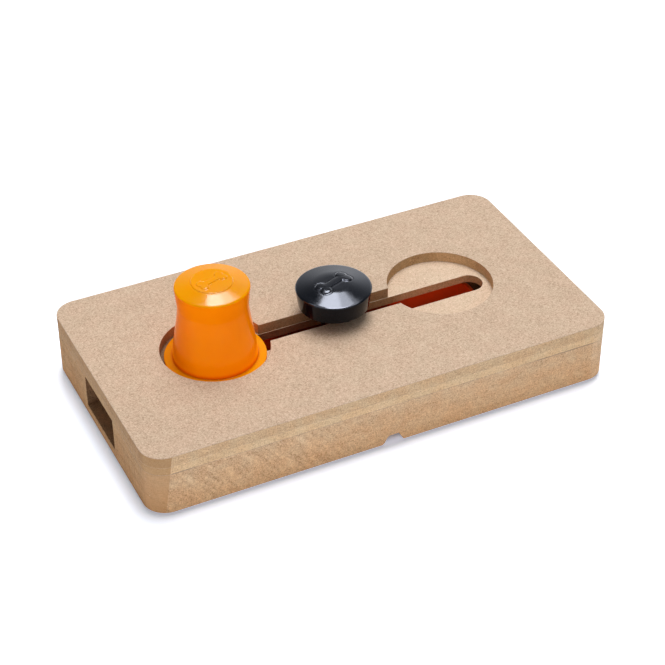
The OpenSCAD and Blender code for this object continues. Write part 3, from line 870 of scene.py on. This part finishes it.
# ---------------------------------------------------------------------- cup
def make_cup():
    m = Mesher()
    cx, zb = -RECESS_X, Z_TOP
    base_r, waist_r, rim_r, waist_z, rim_z = 25.4, 21.0, 22.3, 38.8, 51.9
    cone, disc, t, fl_r, fl_t = 2.3, 12.3, 2.0, 30.6, 2.0
    n = 240
    ang = np.array([TAU * i / n for i in range(n)])

    def side_r(z):
        flare = waist_r + (rim_r - waist_r) * (z - waist_z) / (rim_z - waist_z)
        q = min(1.0, max(0.0, (waist_z - z) / (waist_z - fl_t)))
        bell = waist_r + (base_r - waist_r) * (0.75 * q * q * (3 - 2 * q) + 0.25 * q)
        return max(flare, bell) if abs(z - waist_z) > 1e-6 else waist_r

    def top_z(r, x, y):
        z = rim_z + 0.12 + cone * np.clip((rim_r - 0.9 - r) / (rim_r - 0.9 - disc), 0, 1)
        z = z + 0.42 * smoothstep(disc + 0.12, disc - 0.34, r) - 0.10 * math.exp(-((r - disc - 0.35) / 0.30) ** 2)
        d = bone_distance(x - cx, y, 19.0, 8.6, math.radians(20))
        lift = 0.55 * smoothstep(0.36, -0.36, d) + 0.10 * smoothstep(0.0, -1.9, d) - 0.08 * np.exp(-((d - 0.62) / 0.34) ** 2)
        return z + np.minimum(lift, 0.55)

    rows = []
    radii = (list(np.linspace(0.3, 10.9, 54)) + list(np.linspace(11.1, disc - 0.4, 5))
             + list(np.linspace(disc - 0.34, disc + 1.1, 13)) + list(np.linspace(disc + 1.5, rim_r - 2.6, 12)))
    for r in radii:
        q = polar(cx, 0.0, r, ang)
        rows.append(np.c_[q, zb + top_z(r, q[:, 0], q[:, 1])])
    rim = fillet((rim_r - 2.6, rim_z + 0.56), (rim_r + 0.05, rim_z - 0.12), (side_r(rim_z - 4.0), rim_z - 4.0), 1.7, 12)
    path = list(rim)
    path += [(side_r(z), z) for z in np.linspace(rim_z - 2.4, waist_z + 0.5, 12)]
    path += [(side_r(z), z) for z in (waist_z + 0.25, waist_z + 0.06, waist_z - 0.06, waist_z - 0.25)]
    path += [(side_r(z), z) for z in np.linspace(waist_z - 0.6, fl_t + 1.6, 46)]
    path += rounded_path([(side_r(fl_t + 1.2), fl_t + 1.2, 0), (base_r + 0.05, fl_t, 0.9), (fl_r, fl_t, 0.55), (fl_r, 0.0, 0.35),
                          (base_r - t + 0.1, 0.0, 0.5), (side_r(fl_t + 2) - t, fl_t + 2.0, 0)], 6)
    path += [(side_r(z) - t, z) for z in np.linspace(fl_t + 3.0, rim_z - 3.4, 34)]
    path += rounded_path([(side_r(rim_z - 3.0) - t, rim_z - 3.0, 0), (rim_r - t - 0.1, rim_z - 1.85, 1.0), (disc, rim_z + cone - 1.9, 0.6),
                          (0.4, rim_z + cone - 1.8, 0)], 5)
    clean = [path[0]]
    for p in path[1:]:
        if math.hypot(p[0] - clean[-1][0], p[1] - clean[-1][1]) > 0.02:
            clean.append(p)
    for r, z in clean:
        rows.append(np.c_[polar(cx, 0.0, r, ang), np.full(n, zb + z)])
    rings = [m.ring(p) for p in rows]
    for a, b in zip(rings, rings[1:]):
        m.strip(a, b)
    c0 = float((zb + top_z(0.0, np.array([cx]), np.array([0.0])))[0])
    m.fan(rings[0], (cx, 0.0, c0))
    m.fan(rings[-1], (cx, 0.0, zb + rim_z + cone - 1.8))
    return m.done("lift_cup", [m_orange])


cup = make_cup()

# ------------------------------------------------------- what rides on what
for piece, body, node, slot in (
        (top_sheet, "board", "top_panel", "fibreboard_face"),
        (deck_sheet, "board", "deck_panel", "fibreboard_deck"),
        (front_bar, "board", "front_block", "fibreboard_core"),
        (back_bar, "board", "back_block", "fibreboard_core"),
        (bottom, "board", "bottom_panel", "fibreboard_core"),
        (feet, "board", "rubber_feet", "foot_rubber"),
        (drawer, "slider", "drawer", "drawer_plastic"),
        (knob, "slider", "knob", "black_plastic"),
        (cup, "cup", "treat_cup", "orange_plastic")):
    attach(piece, body)
    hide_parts(node)

for node in ("panel_screws", "knob_screw", "knob_washer"):
    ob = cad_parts[node]
    ob.data.materials.clear()
    ob.data.materials.append(m_zinc)

# -------------------------------------------------------------------- stage
bm = bmesh.new()
bmesh.ops.create_grid(bm, x_segments=2, y_segments=2, size=4.0)
me = bpy.data.meshes.new("floor")
bm.to_mesh(me)
bm.free()
floor = bpy.data.objects.new("floor", me)
bpy.context.scene.collection.objects.link(floor)
fm = Mat("floor_white")
fx, fy, _ = fm.xyz(fm.p)
gx = fm.math("MAXIMUM", fm.math("SUBTRACT", fm.math("ABSOLUTE", fx), BOARD_L / 2 - CORNER), 0.0)
gy = fm.math("MAXIMUM", fm.math("SUBTRACT", fm.math("ABSOLUTE", fy), BOARD_W / 2 - CORNER), 0.0)
away = fm.math("SUBTRACT", fm.math("SQRT", fm.math("ADD", fm.math("MULTIPLY", gx, gx), fm.math("MULTIPLY", gy, gy))), CORNER)
fn = fm.noise(fm.p, 0.004, 2.0)
# the floor's glow is painted light and shade: weak next to the board, which leaves a painted contact shadow, and
# stronger just under the board's edge; at the left end the painted shadow reaches further, where the board shades the
# floor
slow = fm.span(fx, -BOARD_L / 2 - 2.0, -BOARD_L / 2 + 22.0, 0.52, 1.0)
near_by = fm.math("MULTIPLY", away, slow)
lit = fm.math("ADD", fm.span(near_by, 0.4, 3.2, 0.105, 0.265), fm.span(near_by, 3.2, 7.5, 0.0, 0.05))
lit = fm.math("ADD", lit, fm.span(near_by, 12.0, 36.0, 0.0, 0.65, True))
under = fm.math("MULTIPLY", fm.span(near_by, -2.2, 0.3, 0.30, 0.0), fm.span(near_by, -8.0, -4.0))
lit = fm.math("ADD", lit, under)
# behind the board and past its right end the floor only reflects
past = fm.math("MAXIMUM", fm.span(fy, BOARD_W / 2 + 34.0, BOARD_W / 2 + 44.0), fm.span(fx, BOARD_L / 2 + 12.0, BOARD_L / 2 + 20.0))
lit = fm.math("MULTIPLY", lit, fm.math("SUBTRACT", 1.0, past))
fm.shade(Base_Color=fm.ramp(fn, [(0.2, (0.86, 0.89, 0.935)), (0.8, (0.875, 0.905, 0.95))]), Roughness=0.9,
         Specular_IOR_Level=0.1, Emission_Color=(0.73, 0.80, 1.0, 1.0), Emission_Strength=lit)
me.materials.append(fm.m)


def panel(name, x0, x1, y0, y1, radiance, height=2.4, turn=0.0):
    """Level overhead panel. Its sides are given as slopes seen from the board, x across and y
    towards the camera, which is turned 25.7 degrees from the board's front."""
    data = bpy.data.lights.new(name, "AREA")
    data.shape = "RECTANGLE"
    data.size, data.size_y = (x1 - x0) * height, (y1 - y0) * height
    data.energy = radiance * math.pi * data.size * data.size_y
    ob = bpy.data.objects.new(name, data)
    cx, cy = (x0 + x1) / 2 * height, (y0 + y1) / 2 * height
    ob.location = (0.901 * cx - 0.434 * cy, -0.434 * cx - 0.901 * cy, height + 0.04)
    ob.rotation_euler = (0.0, 0.0, math.radians(-25.7 + turn))
    ob.visible_camera = False
    bpy.context.scene.collection.objects.link(ob)
    return ob


panel("key_near", -0.13, 0.26, -0.25, 0.08, 13.0, 8.0)
panel("key_far_left", -0.14, 0.09, -0.82, -0.25, 9.6, 8.0, turn=8.0)
panel("key_far_right", 0.09, 0.24, -0.82, -0.25, 6.0, 8.0, turn=8.0)
panel("key_far_edge", 0.24, 0.42, -0.78, -0.25, 1.9, 8.0, turn=8.0)
panel("overhead_wide", -0.45, 0.60, -0.45, 0.40, 1.42)

world = bpy.data.worlds.new("studio")
bpy.context.scene.world = world
world.use_nodes = True
wt = world.node_tree
wt.nodes.clear()


def w_math(op, a, b=0.0):
    n = wt.nodes.new("ShaderNodeMath")
    n.operation = op
    for i, v in enumerate((a, b)):
        if isinstance(v, bpy.types.NodeSocket):
            wt.links.new(v, n.inputs[i])
        else:
            n.inputs[i].default_value = v
    return n.outputs[0]


w_out = wt.nodes.new("ShaderNodeOutputWorld")
w_bg = wt.nodes.new("ShaderNodeBackground")
w_dir = wt.nodes.new("ShaderNodeTexCoord").outputs["Generated"]
glow = None
# soft fields of light: azimuth and elevation in degrees, tightness, strength
for az, el, tight, power in ((-90, 8, 12.0, 0.60), (-90, 38, 12.0, 0.65), (-135, 38, 12.0, 0.55),
                             (180, 38, 12.0, 0.70), (45, 8, 12.0, 1.60), (90, 8, 12.0, 0.70),
                             (0, 20, 5.0, 0.08)):
    a, e = math.radians(az), math.radians(el)
    dot = wt.nodes.new("ShaderNodeVectorMath")
    dot.operation = "DOT_PRODUCT"
    wt.links.new(w_dir, dot.inputs[0])
    dot.inputs[1].default_value = (math.cos(a) * math.cos(e), math.sin(a) * math.cos(e), math.sin(e))
    term = w_math("MULTIPLY", w_math("SUBTRACT", dot.outputs["Value"], 1.0), tight)
    term = w_math("MULTIPLY", w_math("EXPONENT", term), power)
    glow = term if glow is None else w_math("ADD", glow, term)
w_bg.inputs["Color"].default_value = (0.985, 0.99, 1.0, 1.0)
wt.links.new(glow, w_bg.inputs["Strength"])
wt.links.new(w_bg.outputs[0], w_out.inputs["Surface"])

# ------------------------------------------------------------------- camera
cam_data = bpy.data.cameras.new("camera")
cam_data.lens, cam_data.sensor_width = 98.50, 36.0
cam = bpy.data.objects.new("camera", cam_data)
eye = Vector((-0.386025, -0.802271, 0.691696))
look = (Vector((0.0047095, 0.0066520, 0.0220)) - eye).normalized()
right = look.cross(Vector((0, 0, 1))).normalized()
up = right.cross(look)
roll = math.radians(-0.1822)
r2 = right * math.cos(roll) + up * math.sin(roll)
u2 = up * math.cos(roll) - right * math.sin(roll)
cam.matrix_world = Matrix(((r2.x, u2.x, -look.x, eye.x), (r2.y, u2.y, -look.y, eye.y),
                           (r2.z, u2.z, -look.z, eye.z), (0, 0, 0, 1)))
cam_data.clip_start, cam_data.clip_end = 0.01, 50.0
bpy.context.scene.collection.objects.link(cam)
bpy.context.scene.camera = cam
bpy.context.scene.view_settings.view_transform = "Standard"
bpy.context.scene.view_settings.look = "None"
